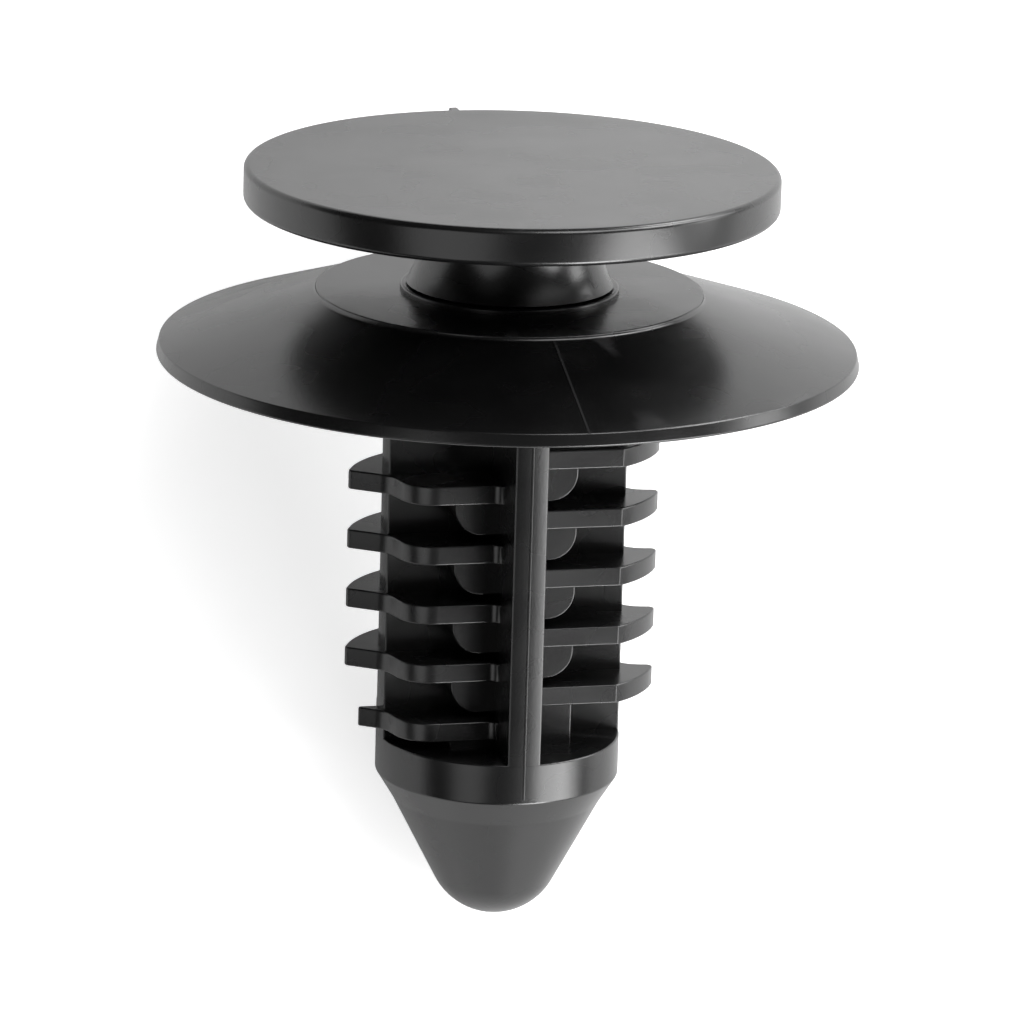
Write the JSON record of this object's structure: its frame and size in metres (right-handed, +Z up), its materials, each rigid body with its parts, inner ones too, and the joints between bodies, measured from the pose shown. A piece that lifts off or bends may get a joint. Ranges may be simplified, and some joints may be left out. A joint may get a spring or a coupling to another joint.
{
  "type": "trim panel retainer",
  "caption": "One-piece plastic push-in retainer: flat round head, waisted neck, hollow sealing umbrella, and a webbed shank with gripping fins, a guide band and a blunt cone.",
  "frame": {"origin": "on the floor below the middle of the part's bounding box, as it lies at rest on its side", "axes": "+Z up; +Y along the lying shank's plan view, from the blunt tip at -Y to the head at +Y, with the shank's own axis rising 27.7 degrees towards the head; +X across, with the web's edge up"},
  "size_m": [0.019, 0.0222, 0.0171],
  "materials": {
    "black_nylon": "satin moulded black nylon"
  },
  "bodies": {
    "root": {"retainer": "black_nylon"}
  },
  "joints": []
}
